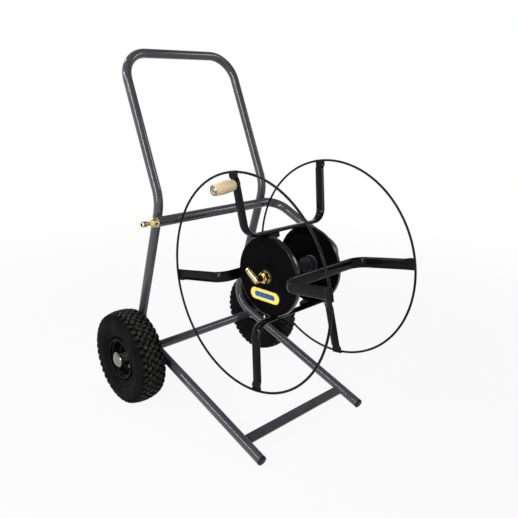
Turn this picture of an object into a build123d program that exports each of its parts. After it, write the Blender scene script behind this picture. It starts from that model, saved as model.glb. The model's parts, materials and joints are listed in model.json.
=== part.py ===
"""Garden hose reel cart.

A bent steel tube frame stands on two pneumatic wheels and two capped feet. The crossbar is also the
water pipe: it runs across the uprights, bends forward, and comes back in as the hollow axle of an open
wire reel. Water enters at the brass inlet on the left and leaves at the swivel elbow in the reel.

X runs across the cart, towards the side where the water pipe bends forward. Y runs from the feet back
to the wheels. Z is up, and the floor is z = 0. The origin is the middle of the footprint.
"""
import os
from math import asin, atan2, cos, pi, radians, sin, sqrt, tan

from build123d import *

# ---------------------------------------------------------------- driving dimensions (mm)
# Side tubes: places are measured from the wheel axle and from the floor
tube_diameter = 25.0
tube_wall = 1.5
side_tube_spacing = 374.8
foot_reach = 461.0
rear_corner_setback = 53.0
rear_corner_height = 168.0
kink_lead = 63.0
kink_height = 570.0
handle_setback = 101.7
handle_height = 943.6
rear_corner_radius = 65.0
kink_radius = 95.0
handle_corner_radius = 75.0
foot_lift = 0.3
foot_cap_head = 6.0
foot_cap_round = 3.0
foot_cap_stem = 18.0

# Flat strip between the legs
strip_width = 26.0
strip_thickness = 4.0
strip_from_foot = 64.0

# Wheel axle
axle_tube_wall = 2.0
axle_diameter = 16.0
axle_bush_length = 22.0
washer_thickness = 2.0
washer_diameter = 30.0
hub_cap_diameter = 42.0
hub_cap_height = 8.5
hub_cap_wall = 1.0

# Wheels
wheel_spacing = 509.0
tyre_diameter = 260.0
tyre_width = 82.0
tread_width = 66.0
tread_depth = 4.0
shoulder_drop = 6.0
shoulder_lug_reach = 3.0
carcass_wall = 5.0
shoulder_slant = 0.8
crown_flat = 0.3
tread_rows = 5
lug_count = 30
lug_share = 0.62
row_share = 0.78
rim_diameter = 114.0
bead_seat_diameter = 100.0
rim_width = 53.5
rim_sheet = 2.5
rim_web_bend = 6.0
rim_seat_bend = 2.75
rim_roll = 3.2
rim_roll_reach = 6.5
rim_roll_drop = 3.9
bead_chamfer = 1.2
rim_window_count = 5
rim_window_diameter = 17.0
rim_hole_circle = 62.6
rim_bolt_diameter = 6.0
rim_bolt_head = 3.6
rim_bolt_hex_width = 10.0
rim_bolt_tail = 2.0
hub_tube_diameter = 26.0
hub_tube_wall = 2.5
hub_outer_end = 38.0
hub_bush_length = 20.0
hub_bush_flange = 2.0
inner_tube_wall = 1.5
valve_diameter = 8.0
valve_length = 24.0
valve_setback = 14.0

# Water pipe
pipe_diameter = 26.9
pipe_wall = 2.3
crossbar_below_kink = 44.0
pipe_overhang = 5.5
arm_reach = 229.0
arm_bend_radius = 50.0
axle_bend_radius = 60.0

# Reel
reel_lead = 344.0
reel_height = 412.5
reel_offset = 15.0
reel_angle = 10.4
ring_radius = 266.5
ring_wire = 6.0
ring_spacing = 320.0
spoke_width = 28.0
spoke_thickness = 10.0
spoke_wall = 1.5
spoke_bend_radius = 36.0
spoke_base_length = 273.6
spoke_lean = 5.7
spoke_count = 4
flat_width = 30.5
flat_thickness = 3.4
flat_length = 15.0
flat_taper = 8.0
disc_radius = 103.0
disc_spacing = 166.0
disc_sheet = 1.5
disc_flange = 13.0
disc_corner = 5.0
gusset_sheet = 3.0
gusset_length = 56.5
gusset_root = 26.0
gusset_end = 11.0
hub_collar_diameter = 42.0
hub_collar_length = 22.0
reel_bush_diameter = 33.0
reel_bush_flange_diameter = 39.0
reel_bush_flange = 1.5
stop_collar_diameter = 42.0
stop_collar_length = 12.0
stop_collar_chamfer = 1.5

# Crank grip on the top spoke
grip_radius_on_reel = 237.0
grip_length = 65.0
grip_base_diameter = 26.0
grip_belly_diameter = 30.5
grip_belly_from_base = 40.0
grip_end_diameter = 26.5
grip_round = 4.5
grip_recess_depth = 4.0
grip_recess_diameter = 17.0
grip_sleeve_wall = 1.0
spindle_diameter = 8.0
spindle_head_diameter = 14.0
spindle_head_height = 4.0
spindle_thread = 6.0
spindle_tail = 1.0
grip_washer_diameter = 16.0
grip_washer_thickness = 1.0
lock_nut_width = 10.0
lock_nut_height = 3.6

# Brass fittings
hex_corner_cut = 0.5
outlet_hex_width = 26.0
outlet_hex_length = 12.0
outlet_spigot_length = 15.0
thrust_washer_diameter = 31.0
thrust_washer_thickness = 1.5
water_bore = 8.0
swivel_stem_diameter = 14.0
swivel_stem_length = 9.5
swivel_flange_diameter = 22.0
swivel_flange_thickness = 3.0
elbow_diameter = 18.0
elbow_run = 19.5
elbow_arm = 22.0
elbow_angle = 33.0
outlet_nose_diameter = 17.0
outlet_nose_length = 15.0
inlet_spigot_length = 15.0
inlet_hex_width = 24.0
inlet_hex_length = 6.0
inlet_barrel_diameter = 25.0
inlet_barrel_length = 9.0
inlet_cone_length = 9.0
inlet_neck_diameter = 11.0
inlet_neck_length = 7.0
inlet_nose_diameter = 15.0
inlet_nose_length = 16.0
seal_width = 2.4
seal_depth = 1.4
inlet_seal_setback = 6.0
outlet_seal_setback = 5.0
swivel_seal_setback = 4.8
nose_chamfer = 1.2

# Clearances
weld_gap = 0.1
press_gap = 0.05
running_gap = 0.05
end_float = 0.25
sleeve_gap = 0.01

# ---------------------------------------------------------------- places worked out from them
tube_radius = tube_diameter / 2
pipe_radius = pipe_diameter / 2
axle_radius = axle_diameter / 2
half_spoke = spoke_thickness / 2
half_tubes = side_tube_spacing / 2
half_wheels = wheel_spacing / 2
half_rings = ring_spacing / 2
half_discs = disc_spacing / 2
ring_reach = ring_radius + ring_wire / 2

# The footprint runs from the front of the rings to the back of the tyres
axle_y = (reel_lead + ring_reach - tyre_diameter / 2) / 2
axle_z = tyre_diameter / 2
reel_x = reel_offset
reel_y = axle_y - reel_lead
reel_z = reel_height
reel_centre = (reel_x, reel_y, reel_z)

rear_corner = (axle_y + rear_corner_setback, rear_corner_height)
kink = (axle_y - kink_lead, kink_height)
handle_top = (axle_y + handle_setback, handle_height)
leg_angle = atan2(rear_corner_height - tube_radius, rear_corner_setback + foot_reach)
foot = (axle_y - foot_reach, tube_radius * cos(leg_angle) + foot_lift)
leg_direction = Vector(0, rear_corner[0] - foot[0], rear_corner[1] - foot[1]).normalized()
upright_direction = Vector(0, kink[0] - rear_corner[0], kink[1] - rear_corner[1]).normalized()
forward_of_upright = Vector(0, -upright_direction.Z, upright_direction.Y)

# The crossbar lies against the front of the uprights, a little below the kink
crossbar_offset = tube_radius + pipe_radius + weld_gap
crossbar_seat = Vector(0, *kink) - upright_direction * crossbar_below_kink
crossbar = crossbar_seat + forward_of_upright * crossbar_offset
pipe_start_x = -(half_tubes + tube_radius + pipe_overhang)

# Along the reel's axis, outwards from the near disc, each piece starts where the last one ends
spoke_base_radius = disc_radius + half_spoke + weld_gap
bush_face = half_discs + reel_bush_flange
thrust_face = bush_face + end_float
thrust_end = thrust_face + thrust_washer_thickness
pipe_end_x = reel_x - thrust_face
outlet_hex_end = thrust_end + outlet_hex_length
elbow_corner = outlet_hex_end + end_float + elbow_run
stop_face = bush_face + end_float

# Across the wheel, outwards from its middle plane
hub_inner_end = half_wheels - half_tubes - tube_radius - washer_thickness - 2 * end_float
hub_washer_face = half_wheels + hub_outer_end + end_float
hub_cap_face = hub_washer_face + washer_thickness
grip_angle = reel_angle + 360 / spoke_count
middle = (0, 0, 0)


# ---------------------------------------------------------------- helpers
def bent_tube(points, radii, outer_radius, wall=0.0):
    """A round tube along straight runs joined by arcs. It is solid if it has no wall."""
    path = FilletPolyline(*points, radius=radii)
    section = Circle(outer_radius)
    if wall:
        section -= Circle(outer_radius - wall)
    return sweep(Plane(origin=path @ 0, z_dir=path % 0) * section, path=path)


def turned(outline, centre):
    """Turns an outline of (along, radius) points about the line through centre that is parallel to X."""
    return Pos(*centre) * revolve(make_face(Polyline(*outline, close=True)), Axis.X)


def ring_between(start, end, inner_radius, outer_radius, centre):
    """A plain round ring or sleeve along X."""
    outline = [(start, inner_radius), (end, inner_radius), (end, outer_radius), (start, outer_radius)]
    return turned(outline, centre)


def dome(start, radius, height):
    """The arc of a round dome, from its rim to its top on the X axis. A negative height points to -X."""
    sphere = (radius ** 2 + height ** 2) / (2 * height)
    half_turn = asin(radius / abs(sphere)) / 2
    half_way = (start + height - sphere * (1 - cos(half_turn)), abs(sphere) * sin(half_turn))
    return ThreePointArc((start, radius), half_way, (start + height, 0))


def domed(start, radius, height, centre):
    """A solid dome along X."""
    outline = dome(start, radius, height) + Polyline((start + height, 0), (start, 0), (start, radius))
    return Pos(*centre) * revolve(make_face(outline), Axis.X)


def hexagon(start, end, width, centre):
    """A hexagonal bar along X, with its width across the flats and its corners turned off at both ends."""
    plane = Plane(origin=(centre[0] + start, centre[1], centre[2]), x_dir=(0, 1, 0), z_dir=(1, 0, 0))
    bar = extrude(plane * RegularPolygon(width / 2, 6, major_radius=False), end - start)
    flats, corners = width / 2, width / sqrt(3)
    edge = hex_corner_cut * (corners - flats)
    cutter = [(start, 0), (start, flats), (start + edge, corners), (end - edge, corners), (end, flats), (end, 0)]
    return bar & turned(cutter, centre)


def on_reel(along, radius, angle):
    """A point of the reel. The angle runs from straight ahead, upwards over the top."""
    turn = radians(angle)
    return (reel_x + along, reel_y - radius * cos(turn), reel_z + radius * sin(turn))


def outward(angle):
    """The direction away from the reel's axis at an angle."""
    turn = radians(angle)
    return (0, -cos(turn), sin(turn))


# ---------------------------------------------------------------- frame
def side_points(x):
    """Corner points of one side tube, from the foot to the top of the handle."""
    return [(x, *foot), (x, *rear_corner), (x, *kink), (x, *handle_top)]


def frame_sweep(outer_radius, wall=0.0):
    """Both side tubes and the handle, which are one length of tube with six bends."""
    points = side_points(-half_tubes) + side_points(half_tubes)[::-1]
    side_radii = [rear_corner_radius, kink_radius, handle_corner_radius]
    return bent_tube(points, side_radii + side_radii[::-1], outer_radius, wall)


def foot_cap(x):
    """A plastic plug with a rounded head, worn flat where it stands on the floor."""
    plane = Plane(origin=(x, *foot), z_dir=-leg_direction)
    stem = extrude(plane * Circle(tube_radius - tube_wall - press_gap), -foot_cap_stem)
    head = fillet(extrude(plane * Circle(tube_radius), foot_cap_head).edges().sort_by(Axis.Y)[0], foot_cap_round)
    below_floor = Pos(x, foot[0], -tube_diameter) * Box(4 * tube_diameter, 6 * tube_diameter, 2 * tube_diameter)
    return stem + head - below_floor


def front_strip(frame_envelope):
    """A flat bar welded between the legs, in their plane."""
    centre = Vector(0, *foot) + leg_direction * strip_from_foot
    plane = Plane(origin=centre, x_dir=(1, 0, 0), z_dir=leg_direction.cross(Vector(-1, 0, 0)))
    return plane * Box(side_tube_spacing, strip_width, strip_thickness) - frame_envelope


def axle_tube(frame_envelope):
    """The cross tube under the legs, notched where they rest in it."""
    reach = half_tubes + tube_radius
    inner = tube_radius - axle_tube_wall
    return ring_between(-reach, reach, inner, tube_radius, (0, axle_y, axle_z)) - frame_envelope


def axle_rod():
    """The solid axle, which runs through the cross tube and out through both wheels."""
    reach = hub_cap_face + hub_cap_height - 3 * hub_cap_wall
    edge = hub_cap_wall
    outline = [(-reach, 0), (reach, 0), (reach, axle_radius - edge), (reach - edge, axle_radius),
               (edge - reach, axle_radius), (-reach, axle_radius - edge)]
    return turned(outline, (0, axle_y, axle_z))


def axle_bush():
    """A spacer that holds the right end of the axle in the middle of the cross tube."""
    end = half_tubes - tube_radius - press_gap
    outer = tube_radius - axle_tube_wall - press_gap
    return ring_between(end - axle_bush_length, end, axle_radius + press_gap, outer, (0, axle_y, axle_z))


def wheel_washers():
    """The two washers at the ends of the right hub."""
    bore = axle_radius + press_gap
    inner_start = half_tubes + tube_radius + end_float
    centre = (0, axle_y, axle_z)
    inner = ring_between(inner_start, inner_start + washer_thickness, bore, washer_diameter / 2, centre)
    outer = ring_between(hub_washer_face, hub_washer_face + washer_thickness, bore, washer_diameter / 2, centre)
    return inner + outer


def hub_cap():
    """The domed cap pressed on the right end of the axle."""
    centre = (0, axle_y, axle_z)
    outer = hub_cap_diameter / 2
    shell = domed(hub_cap_face, outer, hub_cap_height, centre)
    shell -= domed(hub_cap_face, outer - hub_cap_wall, hub_cap_height - hub_cap_wall, centre)
    bore = axle_radius + press_gap
    neck_end = hub_cap_face + hub_cap_height - 1.5 * hub_cap_wall
    neck = ring_between(hub_cap_face, neck_end, bore, bore + hub_cap_wall, centre)
    return shell + (neck & domed(hub_cap_face, outer, hub_cap_height, centre))


def water_pipe():
    """Crossbar, arm and reel axle in one bent pipe."""
    points = [
        (pipe_start_x, crossbar.Y, crossbar.Z),
        (arm_reach, crossbar.Y, crossbar.Z),
        (arm_reach, reel_y, reel_z),
        (pipe_end_x, reel_y, reel_z),
    ]
    return bent_tube(points, [arm_bend_radius, axle_bend_radius], pipe_radius, pipe_wall)


# ---------------------------------------------------------------- brass fittings
def seal_ring(position, outer_radius, centre):
    """A rubber ring that fills a seal groove, flush with the metal beside it."""
    return ring_between(position, position + seal_width, outer_radius - seal_depth, outer_radius, centre)


def inlet_adaptor():
    """Hexagon and barrel screwed into the open end of the crossbar."""
    centre = (pipe_start_x, crossbar.Y, crossbar.Z)
    bore = water_bore / 2
    spigot = pipe_radius - pipe_wall - press_gap
    hex_end = -press_gap - inlet_hex_length
    barrel_end = hex_end - inlet_barrel_length
    cone_end = barrel_end - inlet_cone_length
    neck_end = cone_end - inlet_neck_length
    nut = hexagon(hex_end, -press_gap, inlet_hex_width, centre)
    nut -= ring_between(hex_end, -press_gap, 0, bore, centre)
    body = turned([
        (inlet_spigot_length, bore), (inlet_spigot_length, spigot), (hex_end, spigot),
        (hex_end, inlet_barrel_diameter / 2), (barrel_end, inlet_barrel_diameter / 2),
        (cone_end, inlet_neck_diameter / 2), (neck_end, inlet_neck_diameter / 2), (neck_end, bore)], centre)
    return nut + body


def inlet_nose_start():
    """Distance from the crossbar's end to the near end of the inlet nose."""
    return press_gap + inlet_hex_length + inlet_barrel_length + inlet_cone_length + inlet_neck_length


def inlet_nose():
    """The plug that a hose connector is pushed on to."""
    start = -inlet_nose_start() - press_gap
    end = start - inlet_nose_length
    radius = inlet_nose_diameter / 2
    bore = water_bore / 2
    groove = end + inlet_seal_setback
    edge = nose_chamfer
    return turned([
        (start, bore), (start, radius - edge), (start - edge, radius), (groove + seal_width, radius),
        (groove + seal_width, radius - seal_depth), (groove, radius - seal_depth), (groove, radius),
        (end + edge, radius), (end, radius - edge), (end, bore)], (pipe_start_x, crossbar.Y, crossbar.Z))


def inlet_seal():
    """The rubber ring in the inlet nose."""
    end = -inlet_nose_start() - press_gap - inlet_nose_length
    return seal_ring(end + inlet_seal_setback, inlet_nose_diameter / 2, (pipe_start_x, crossbar.Y, crossbar.Z))


def outlet_adaptor():
    """The hexagon screwed into the reel axle, bored out for the swivel stem."""
    bore = swivel_stem_diameter / 2 + running_gap
    spigot = pipe_radius - pipe_wall - press_gap
    nut = hexagon(-outlet_hex_end, -thrust_end, outlet_hex_width, reel_centre)
    spigot_end = -thrust_face + outlet_spigot_length
    body = ring_between(-thrust_end, spigot_end, 0, spigot, reel_centre)
    socket_end = -outlet_hex_end + swivel_stem_length + end_float
    socket = ring_between(-outlet_hex_end, socket_end, 0, bore, reel_centre)
    passage = ring_between(-outlet_hex_end, spigot_end, 0, water_bore / 2, reel_centre)
    return nut + body - socket - passage


def elbow_points():
    """Centre line of the elbow: swivel end, corner, end of the arm."""
    arm = Vector(0, cos(radians(elbow_angle)), sin(radians(elbow_angle)))
    start = Vector(reel_x - outlet_hex_end - end_float, reel_y, reel_z)
    corner = Vector(reel_x - elbow_corner, reel_y, reel_z)
    return start, corner, corner + arm * elbow_arm, arm


def swivel_elbow():
    """Stem, flange and mitred elbow. It turns in the outlet adaptor."""
    start, corner, arm_end, arm = elbow_points()
    centre = reel_centre
    flange_face = -outlet_hex_end - end_float
    stem_end = -outlet_hex_end + swivel_stem_length
    stem = ring_between(flange_face, stem_end, 0, swivel_stem_diameter / 2, centre)
    flange = ring_between(flange_face - swivel_flange_thickness, flange_face, 0,
                          swivel_flange_diameter / 2, centre)
    run = Polyline(start, corner, arm_end)
    plane = Plane(origin=start, z_dir=(-1, 0, 0))
    body = sweep(plane * Circle(elbow_diameter / 2), path=run, transition=Transition.RIGHT)
    bore = sweep(plane * Circle(water_bore / 2), path=run, transition=Transition.RIGHT)
    stem_bore = ring_between(flange_face, stem_end, 0, water_bore / 2, centre)
    groove = seal_ring(stem_end - swivel_seal_setback, swivel_stem_diameter / 2, centre)
    return stem + flange + body - bore - stem_bore - groove


def swivel_seal():
    """The rubber ring on the swivel stem."""
    stem_end = -outlet_hex_end + swivel_stem_length
    return seal_ring(stem_end - swivel_seal_setback, swivel_stem_diameter / 2, reel_centre)


def on_elbow_arm(piece):
    """Moves a piece turned about X at the origin on to the end of the elbow's arm."""
    arm_end = elbow_points()[2]
    return Pos(*arm_end) * Rot(elbow_angle, 0, 0) * Rot(0, 0, 90) * piece


def outlet_nose():
    """The plug at the end of the elbow that the reel's hose is pushed on to."""
    radius = outlet_nose_diameter / 2
    edge = nose_chamfer
    groove = outlet_nose_length - outlet_seal_setback - seal_width
    return on_elbow_arm(turned([
        (press_gap, water_bore / 2), (press_gap, radius), (groove, radius), (groove, radius - seal_depth),
        (groove + seal_width, radius - seal_depth), (groove + seal_width, radius),
        (outlet_nose_length - edge, radius), (outlet_nose_length, radius - edge),
        (outlet_nose_length, water_bore / 2)], middle))


def outlet_seal():
    """The rubber ring in the outlet nose."""
    groove = outlet_nose_length - outlet_seal_setback - seal_width
    return on_elbow_arm(seal_ring(groove, outlet_nose_diameter / 2, middle))


# ---------------------------------------------------------------- reel
def wire_ring(side):
    """One of the two wire rings that keep the hose on the reel."""
    plane = Plane(origin=(reel_x + side * half_rings, reel_y, reel_z), z_dir=(1, 0, 0))
    return plane * Torus(ring_radius, ring_wire / 2)


def leg_along(radius):
    """Distance from the reel's middle plane to the centre line of a spoke's leg, which leans outwards."""
    return spoke_base_length / 2 + (radius - spoke_base_radius) * tan(radians(spoke_lean))


def leg_direction_at(side, angle, lean):
    """The direction of a leg that leans out from the reel's middle plane by an angle."""
    return Vector(outward(angle)) * cos(radians(lean)) + Vector(side * sin(radians(lean)), 0, 0)


def across_leg(side, along, radius, angle, lean=0.0):
    """The plane of a cut across a leg, with its X direction along the width of the tube."""
    turn = radians(angle)
    centre = on_reel(side * along, radius, angle)
    return Plane(origin=centre, x_dir=(0, sin(turn), cos(turn)), z_dir=leg_direction_at(side, angle, lean))


def oval(inset):
    """The flattened section of a spoke, or its hollow."""
    return Ellipse(spoke_width / 2 - inset, half_spoke - inset)


def flat_end(side, angle):
    """The end of a leg, pressed flat where it is welded to the inner side of the ring wire."""
    flat_start = ring_reach - flat_length
    taper_start = flat_start - flat_taper
    flat_along = half_rings - (ring_wire + flat_thickness) / 2 - weld_gap
    root = across_leg(side, leg_along(taper_start), taper_start, angle, spoke_lean)
    tip = across_leg(side, flat_along, flat_start, angle)
    flat = tip * SlotOverall(flat_width, flat_thickness)
    slit = tip * SlotOverall(flat_width - 2 * spoke_wall, flat_thickness - 2 * spoke_wall)
    taper = loft([root * oval(0.0), flat]) - loft([root * oval(spoke_wall), slit])
    return taper + extrude(flat, flat_length)


def spoke_tube(number):
    """One oval tube bent to a U: in from one ring, along past both discs, and out to the other ring."""
    angle = reel_angle + number * 360 / spoke_count
    taper_start = ring_reach - flat_length - flat_taper
    leg = [(leg_along(taper_start), taper_start), (spoke_base_length / 2, spoke_base_radius)]
    points = [on_reel(-along, radius, angle) for along, radius in leg]
    points += [on_reel(along, radius, angle) for along, radius in reversed(leg)]
    path = FilletPolyline(*points, radius=spoke_bend_radius)
    start = Plane(origin=path @ 0, x_dir=across_leg(-1, 0, 0, angle).x_dir, z_dir=path % 0)
    tube = sweep(start * (oval(0.0) - oval(spoke_wall)), path=path)
    return tube + flat_end(-1, angle) + flat_end(1, angle)


def hub_disc(side):
    """A pressed disc with its rim folded in towards the middle of the reel."""
    bore = reel_bush_diameter / 2 + press_gap
    outer = disc_corner + disc_sheet
    outline = Line((0, bore), (0, disc_radius - outer))
    outline += RadiusArc((0, disc_radius - outer), (-outer, disc_radius), -outer)
    outline += Polyline((-outer, disc_radius), (-disc_flange, disc_radius),
                        (-disc_flange, disc_radius - disc_sheet), (-outer, disc_radius - disc_sheet))
    outline += RadiusArc((-outer, disc_radius - disc_sheet), (-disc_sheet, disc_radius - outer), disc_corner)
    outline += Polyline((-disc_sheet, disc_radius - outer), (-disc_sheet, bore), (0, bore))
    disc = Pos(half_discs, 0, 0) * revolve(make_face(outline), Axis.X)
    if side < 0:
        disc = mirror(disc, Plane.YZ)
    return Pos(*reel_centre) * disc


def gussets(side):
    """Four plates that tie a disc to the undersides of the spokes, each in the plane of its spoke."""
    face = half_discs - disc_sheet - weld_gap
    corner = face - disc_corner
    rim = disc_radius - disc_sheet - weld_gap
    flange_end = half_discs - disc_flange - weld_gap
    top = spoke_base_radius - half_spoke - weld_gap
    tip = half_discs - disc_sheet - gusset_length
    outline = [(face, top - gusset_root), (face, rim - disc_corner), (corner, rim), (flange_end, rim),
               (flange_end, top), (tip, top), (tip, top - gusset_end)]
    plate = extrude(Plane.XZ * make_face(Polyline(*outline, close=True)), gusset_sheet / 2, both=True)
    if side < 0:
        plate = mirror(plate, Plane.YZ)
    plates = [Rot(90 - reel_angle - step * 360 / spoke_count, 0, 0) * plate for step in range(spoke_count)]
    return Pos(*reel_centre) * Compound(children=plates)


def along_reel(side, start, end, inner_radius, outer_radius):
    """A ring on the reel's axis, with distances measured from the reel's middle towards one side."""
    low, high = sorted((side * start, side * end))
    return ring_between(low, high, inner_radius, outer_radius, reel_centre)


def hub_collar(side):
    """The collar behind a disc that holds its bush."""
    end = half_discs - disc_sheet - weld_gap
    return along_reel(side, end - hub_collar_length, end, reel_bush_diameter / 2 + press_gap,
                      hub_collar_diameter / 2)


def reel_bush(side):
    """A flanged plastic bush, on which the reel turns about the pipe."""
    start = half_discs - disc_sheet - weld_gap - hub_collar_length
    bore = pipe_radius + running_gap
    body = along_reel(side, start, half_discs + press_gap, bore, reel_bush_diameter / 2)
    return body + along_reel(side, half_discs + press_gap, bush_face, bore, reel_bush_flange_diameter / 2)


def stop_collar():
    """The collar on the pipe that stops the reel from sliding towards the arm."""
    collar = along_reel(1, stop_face, stop_face + stop_collar_length, pipe_radius + press_gap,
                        stop_collar_diameter / 2)
    return chamfer(collar.edges().group_by(Axis.X)[-1].sort_by(SortBy.RADIUS)[-1], stop_collar_chamfer)


def thrust_washer():
    """The washer that the outlet adaptor clamps on the end of the pipe, to keep the reel on it."""
    return along_reel(-1, thrust_face + press_gap, thrust_end - press_gap,
                      pipe_radius - pipe_wall, thrust_washer_diameter / 2)


# ---------------------------------------------------------------- crank grip
# Grip pieces are made about the X axis, with distances from the middle of the top spoke's near leg
grip_seat = half_spoke + press_gap
grip_shoulder = grip_seat + grip_washer_thickness + press_gap
grip_base = -grip_shoulder - end_float
grip_tip = grip_base - grip_length
sleeve_tip = grip_tip + grip_recess_depth


def on_grip_axis(piece):
    """Puts a grip piece on the near leg of the top spoke, square to the leg."""
    centre = on_reel(-leg_along(grip_radius_on_reel), grip_radius_on_reel, grip_angle)
    along_leg = leg_direction_at(-1, grip_angle, spoke_lean)
    across = Vector(outward(grip_angle)) * sin(radians(spoke_lean)) + Vector(cos(radians(spoke_lean)), 0, 0)
    return Location(Plane(origin=centre, x_dir=across, z_dir=along_leg)) * piece


def wooden_grip():
    """A turned barrel of pale wood, with a recess for the spindle's head."""
    belly = grip_base - grip_belly_from_base
    base_radius, end_radius = grip_base_diameter / 2, grip_end_diameter / 2
    bore = spindle_diameter / 2 + running_gap + grip_sleeve_wall
    recess = grip_recess_diameter / 2
    outline = Line((grip_base, bore), (grip_base, base_radius - grip_round))
    outline += RadiusArc((grip_base, base_radius - grip_round), (grip_base - grip_round, base_radius), -grip_round)
    outline += ThreePointArc((grip_base - grip_round, base_radius), (belly, grip_belly_diameter / 2),
                             (grip_tip + grip_round, end_radius))
    outline += RadiusArc((grip_tip + grip_round, end_radius), (grip_tip, end_radius - grip_round), -grip_round)
    outline += Polyline((grip_tip, end_radius - grip_round), (grip_tip, recess), (sleeve_tip, recess),
                        (sleeve_tip, bore), (grip_base, bore))
    return on_grip_axis(revolve(make_face(outline), Axis.X))


def grip_sleeve():
    """The steel liner pressed into the grip."""
    inner = spindle_diameter / 2 + running_gap
    sleeve = ring_between(sleeve_tip, grip_base, inner, inner + grip_sleeve_wall - sleeve_gap, middle)
    return on_grip_axis(sleeve)


def grip_spindle():
    """A domed shoulder bolt through the grip and the spoke."""
    head_start = sleeve_tip - end_float
    thread_end = grip_shoulder + lock_nut_height + spindle_tail
    bolt = ring_between(head_start, -grip_shoulder, 0, spindle_diameter / 2, middle)
    bolt += ring_between(-grip_shoulder, thread_end, 0, spindle_thread / 2, middle)
    return on_grip_axis(bolt + domed(head_start, spindle_head_diameter / 2, -spindle_head_height, middle))


def grip_washers():
    """Washers on both sides of the spoke."""
    bore = spindle_thread / 2 + press_gap
    outer = grip_washer_diameter / 2
    near = ring_between(-grip_seat - grip_washer_thickness, -grip_seat, bore, outer, middle)
    far = ring_between(grip_seat, grip_seat + grip_washer_thickness, bore, outer, middle)
    return on_grip_axis(near + far)


def lock_nut():
    """The thin nut that holds the spindle in the spoke."""
    nut = hexagon(grip_shoulder, grip_shoulder + lock_nut_height, lock_nut_width, middle)
    bore = ring_between(grip_shoulder, grip_shoulder + lock_nut_height, 0, spindle_thread / 2 + press_gap, middle)
    return on_grip_axis(nut - bore)


def spindle_hole():
    """The hole for the spindle through both walls of the near leg."""
    return on_grip_axis(ring_between(-spoke_thickness, spoke_thickness, 0, spindle_thread / 2 + press_gap, middle))


# ---------------------------------------------------------------- wheels
# Wheel pieces are made for the right wheel, about the X axis, with distances from its middle plane
wheel_centre = (half_wheels, axle_y, axle_z)
seat_radius = bead_seat_diameter / 2
half_rim = rim_width / 2
half_tread = tread_width / 2
crown_radius = tyre_diameter / 2 - tread_depth
shoulder_radius = crown_radius - shoulder_drop
lip_radius = rim_diameter / 2
bead_radius = seat_radius + press_gap
bead_outer = half_rim - rim_sheet - press_gap
side_radius = (shoulder_radius + lip_radius) / 2


def flipped(point):
    """The same point on the other side of the wheel's middle plane."""
    return (-point[0], point[1])


def wall_outline(depth):
    """The tyre from bead to bead, at a depth under its surface: up the bead, then side, crown and side."""
    toe = (bead_outer - bead_chamfer - depth, bead_radius)
    heel = (bead_outer - depth, bead_radius + bead_chamfer)
    lip = (bead_outer - depth, lip_radius + rim_sheet)
    side = (tyre_width / 2 - depth, side_radius)
    shoulder = (half_tread - shoulder_slant * depth, shoulder_radius - depth)
    crown = (0, crown_radius - depth)
    outline = Line(toe, heel) + Line(heel, lip) + ThreePointArc(lip, side, shoulder)
    outline += ThreePointArc(shoulder, crown, flipped(shoulder))
    outline += ThreePointArc(flipped(shoulder), flipped(side), flipped(lip))
    outline += Line(flipped(lip), flipped(heel)) + Line(flipped(heel), flipped(toe))
    return outline, toe


def tread_lugs():
    """Staggered rows of square lugs, trimmed to the rounded shape of the tread."""
    pitch = 360 / lug_count
    lug_length = 2 * pi * crown_radius / lug_count * lug_share
    row_pitch = (tread_width + 2 * shoulder_lug_reach) / tread_rows
    lugs = []
    for row in range(tread_rows):
        along = (row - (tread_rows - 1) / 2) * row_pitch
        block = Pos(along, 0, crown_radius) * Box(row_share * row_pitch, lug_length, 4 * tread_depth)
        lugs += [Rot((step + row % 2 / 2) * pitch, 0, 0) * block for step in range(lug_count)]
    outer = tyre_diameter / 2
    edge = (half_tread + shoulder_lug_reach, shoulder_radius)
    top = (crown_flat * tread_width, outer)
    root = (half_tread - carcass_wall / 2, shoulder_radius - carcass_wall / 2)
    crown = (0, crown_radius - carcass_wall / 2)
    outline = Polyline(flipped(root), flipped(edge), flipped(top), top, edge, root)
    outline += ThreePointArc(root, crown, flipped(root))
    return Compound(children=lugs) & revolve(make_face(outline), Axis.X)


def tyre():
    """A hollow rubber carcass, open between its beads, with a lugged tread."""
    outer, outer_bead = wall_outline(0)
    inner, inner_bead = wall_outline(carcass_wall)
    outline = outer + inner + Line(outer_bead, inner_bead) + Line(flipped(outer_bead), flipped(inner_bead))
    return revolve(make_face(outline), Axis.X) + tread_lugs().solids()


def inner_tube():
    """The air tube inside the tyre, lying against the tyre's wall and the rim's seat."""
    layers = []
    for wall in (0, inner_tube_wall):
        outline, bead = wall_outline(carcass_wall + press_gap + wall)
        layer = revolve(make_face(outline + Line(bead, flipped(bead))), Axis.X)
        floor = seat_radius + press_gap + wall
        layers.append(layer - ring_between(-half_rim, half_rim, 0, floor, middle))
    return layers[0] - layers[1]


def valve_stem(extra=0.0):
    """The air valve, from the inner tube in through the seat of the outer rim half."""
    radius = valve_diameter / 2
    top = sqrt(seat_radius ** 2 - radius ** 2)
    return Pos(valve_setback, 0, top - valve_length / 2) * Cylinder(radius + extra, valve_length + extra)


def on_hole_circle(step):
    """A place on the circle of windows and bolts, which alternate half a step apart."""
    return Rot(step * 360 / rim_window_count, 0, 0) * Pos(0, 0, rim_hole_circle / 2)


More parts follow.
